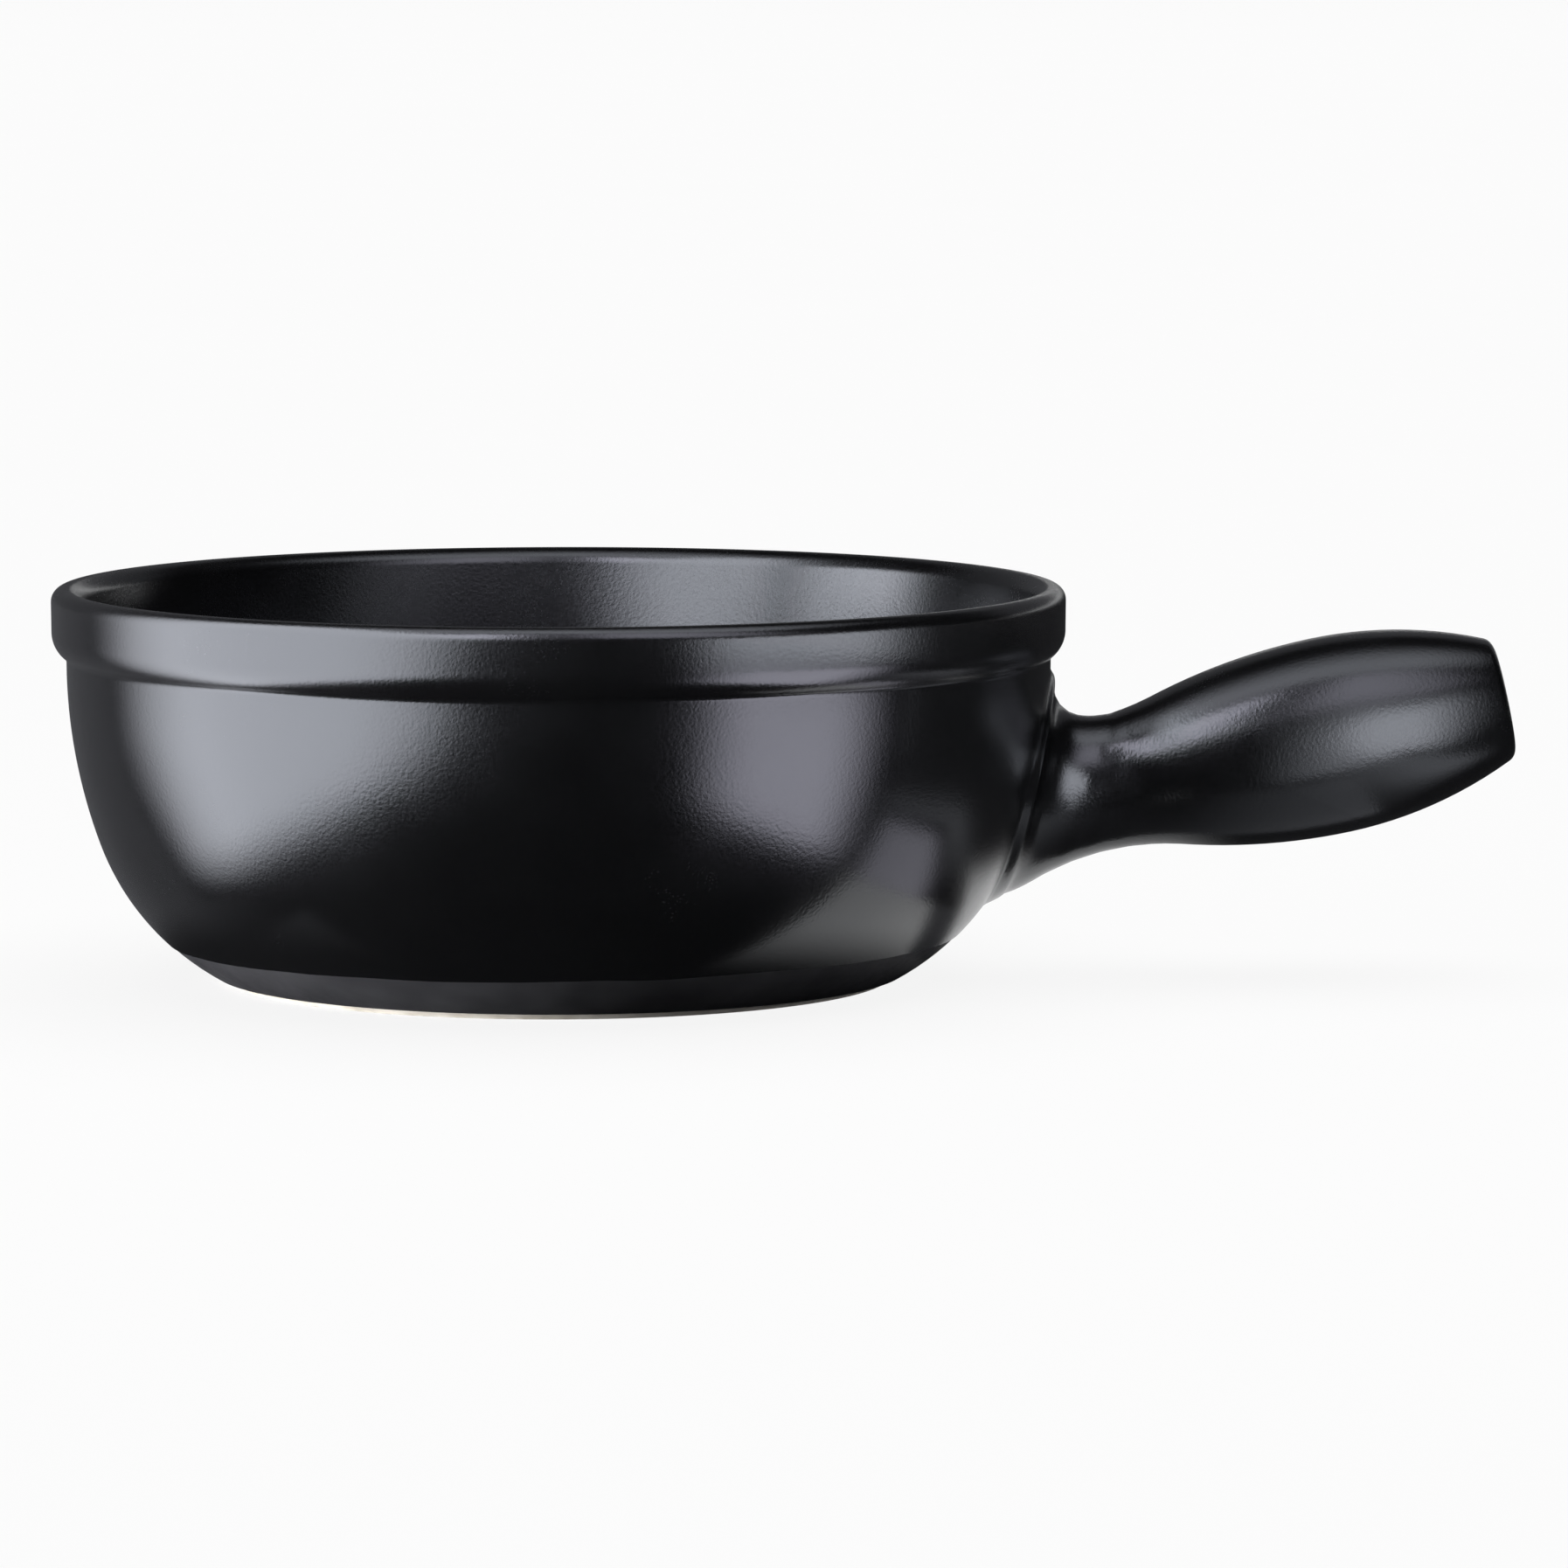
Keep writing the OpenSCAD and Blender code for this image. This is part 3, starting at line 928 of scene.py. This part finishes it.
def foot_card(name, middle, full, clear, tone):
    """A dark card under the pot, for the shadow at its foot: full to one radius and clear from another."""
    material, tree = new_material(name)
    lift = 2 * CARD_LIFT
    away = put(tree, "ShaderNodeVectorMath", {"operation": "DISTANCE"})
    feed(tree, away.inputs[0], places(tree, "Object"))
    feed(tree, away.inputs[1], (*middle, lift))
    glowing(tree, tone, COOL_WHITE, fade(tree, away.outputs["Value"], clear, full), True)
    x, y = middle
    card(name, on_floor((x - clear, y - clear), (x + clear, y + clear), lift), material)


def make_softboxes():
    """Glowing panels that light nothing and only show as painted highlights in the glaze: at the left, at the
    right, in front of the handle, above, and low beside the handle.
    """
    softbox("left_softbox", 4.1, (
        (-0.108, -0.047, PANEL_FOOT),
        (-0.380, 0.220, 0.850),
        (-0.380, -2.200, 0.850),
        (-0.108, -0.310, PANEL_FOOT),
    ), (0.024, 0.15, 0.115, 0.70))
    over_rim = upright((-0.500, -0.200), (-0.500, 0.220), 0.085, 0.400)
    softbox("inside_softbox", 4.9, over_rim, (0, 0.35, 0, 0.6))
    softbox("right_near_softbox", 2.5, (
        (0.111, -0.088, PANEL_FOOT),
        (0.077, -0.200, PANEL_FOOT),
        (0.077, -0.204, 0.074),
        (0.110, -0.086, 0.077),
    ), (0.25, 0.45, 0.12, 0.12), VIOLET_WHITE)
    right_far = upright((0.289, -0.083), (0.224, -0.440), PANEL_FOOT, 0.140)
    softbox("right_far_softbox", 3.2, right_far, (0.27, 0.15, 0, 0.43))
    softbox("right_low_softbox", 0.88, (
        (0.110, -0.037, PANEL_FOOT),
        (0.110, -0.0845, PANEL_FOOT),
        (0.110, -0.0815, 0.0305),
        (0.110, -0.055, 0.0305),
    ), (0.25, 0.06, 0, 0.25), VIOLET_WHITE)
    front = upright((0.250, -0.160), (0.142, -0.090), PANEL_FOOT, 0.130)
    softbox("front_softbox", 3.1, front, (0.08, 0.92, 0, 0.5), see_through=True)
    over_grip = upright((0.950, -0.600), (0.020, -0.600), 0.220, 2.000)
    softbox("handle_softbox", 1.5, over_grip, (0.7, 0.13, 0.13, 0.6), VIOLET_WHITE, see_through=True)
    over_neck = upright((-0.100, -0.600), (-0.320, -0.600), 0.220, 1.300)
    softbox("handle_left_softbox", 4.4, over_neck, (0.25, 0, 0.1, 0.5), VIOLET_WHITE, see_through=True)
    softbox("top_softbox", 1.3, (
        (-0.900, -0.500, 1.000),
        (-0.900, 0.450, 1.000),
        (0.900, 0.450, 1.000),
        (0.900, -0.500, 1.000),
    ), (0.1, 0.76, 0.3, 0.25))
    softbox("handle_bounce", 0.75, (
        (0.150, -0.120, 0.0506),
        (0.268, -0.120, PANEL_FOOT),
        (0.268, -0.008, PANEL_FOOT),
        (0.150, -0.008, 0.0506),
    ), (0.7, 0.15, 0.35, 0.25), see_through=True)


def make_cards():
    """Dark and grey cards on the floor and far behind, seen only in the glaze: painted dark reflections
    between the light panels, and painted shadows of the pot and handle on the floor.
    """
    # Painted dark reflections: the glaze shows a dark floor in front of the pot and at its right
    floor_card("front_dark_card", (-8.0, -40.0), (8.0, -0.086), 0.015)
    floor_card("right_dark_card", (0.200, -0.086), (8.0, 0.0), 0.03)
    # Painted shadow of the handle on the floor, darkest next to the pot, seen only in the glaze
    floor_card("handle_shadow_card", (0.110, -0.086), (0.200, 0.0), 0.36, (1, 0, 0, 0))
    # Painted shadow on the floor just beside the foot, seen only in the glaze
    floor_card("right_foot_card", (0.085, -0.033), (0.110, 0.0), 0.08)
    # Painted dark reflection of the floor behind, at the right
    softbox("back_right_dark_card", 0.03, (
        (0.118, 0.0, CARD_LIFT),
        (8.0, 0.0, CARD_LIFT),
        (8.0, 19.0, CARD_LIFT),
        (1.5, 19.0, CARD_LIFT),
    ), (0.005, 0, 0, 0), see_through=True)
    # Painted grey reflections of the floor at the left and behind the pot
    floor_card("left_grey_card", (-8.0, -0.086), (-0.08, 19.0), 0.13, (0, 0, 0.003, 0))
    softbox("back_grey_card", 0.13, on_floor((-0.08, -0.086), (0.02, 19.0)), (0, 1, 0, 0), see_through=True)
    foot_card("foot_dark_card", (-0.006, -0.010), 0.084, 0.108, 0.02)
    # Painted dark reflections of the room far behind, in front of the backdrop
    back_card("back_left_dark_card", (-30.0, 0.0), (0.2, 16.0), 0.10)
    back_card("back_right_low_dark_card", (0.2, 0.0), (30.0, 1.7), 0.08)
    back_card("back_right_high_dark_card", (0.2, 3.3), (30.0, 16.0), 0.12)


def make_lamps():
    """An even ceiling light, a low fill at the heel and a dim room. The glaze doesn't mirror the lamps."""
    bpy.ops.object.light_add(type="AREA", location=FILL_PLACE)
    fill = bpy.context.object
    fill.name = "low_fill"
    fill.rotation_euler = (FILL_AIM - FILL_PLACE).to_track_quat("-Z", "Y").to_euler()
    fill.data.shape = "RECTANGLE"
    fill.data.size = FILL_WIDTH
    fill.data.size_y = FILL_HEIGHT
    fill.data.energy = FILL_POWER
    fill.visible_camera = False
    fill.visible_glossy = False
    bpy.ops.object.light_add(type="SUN", location=(0, 0, 2))
    ceiling = bpy.context.object
    ceiling.name = "ceiling_light"
    ceiling.rotation_euler = CEILING_LEAN
    ceiling.data.energy = CEILING_GLOW
    ceiling.data.angle = CEILING_SPREAD
    ceiling.visible_glossy = False
    world = bpy.data.worlds.new("dim_room")
    bpy.context.scene.world = world
    world.use_nodes = True
    world.node_tree.nodes["Background"].inputs["Color"].default_value = (*ROOM_GREY, 1)


def make_camera():
    """Camera where the photo was taken, with the pot off the middle of the frame as it is there."""
    focal_px = PIXELS_PER_METRE * VIEW_DISTANCE
    back = Vector((0, -math.cos(VIEW_ELEVATION), math.sin(VIEW_ELEVATION)))
    eye = VIEW_TARGET + VIEW_DISTANCE * back
    right = Vector((1, 0, 0))
    up = back.cross(right)
    off_x = (VIEW_TARGET_PIXEL[0] - IMAGE_SIDE / 2) / focal_px
    off_y = (VIEW_TARGET_PIXEL[1] - IMAGE_SIDE / 2) / focal_px
    axis = (-back - off_x * right + off_y * up).normalized()
    right = axis.cross(Vector((0, 0, 1))).normalized()
    up = right.cross(axis)
    turn = Matrix((right, up, -axis)).transposed()
    bpy.ops.object.select_all(action="DESELECT")
    bpy.ops.object.camera_add(location=eye, rotation=turn.to_euler())
    camera = bpy.context.object
    camera.data.sensor_width = SENSOR
    camera.data.lens = SENSOR * focal_px / IMAGE_SIDE
    bpy.context.scene.camera = camera


outside, coat, inside, recess = make_bowl_glazes()
skin = make_handle_skin()

outside_black = black_glaze("black_glaze", OUTSIDE_ROUGH, OUTSIDE_TOOTH)
inside_black = black_glaze("inner_black_glaze", INSIDE_ROUGH, INSIDE_TOOTH)
dress(outside, outside_black, "black_glaze", "outer_glaze")
dress(inside, inside_black, "inner_black_glaze", "inner_glaze")
dress(skin, outside_black, "black_glaze", "handle_glaze")
dress(recess, inside_black, "inner_black_glaze", "recess_glaze")
dress(coat, matt_coat(), "matt_coat", "base_coat")
clay = fired_clay("stoneware", *CLAYS)
give(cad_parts["bowl"], clay)
give(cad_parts["handle"], clay)
give(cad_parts["handle_lute"], fired_clay("joining_slip", *SLIPS))

make_floor()
make_softboxes()
make_cards()
make_lamps()
make_camera()
bpy.context.scene.view_settings.view_transform = "Standard"
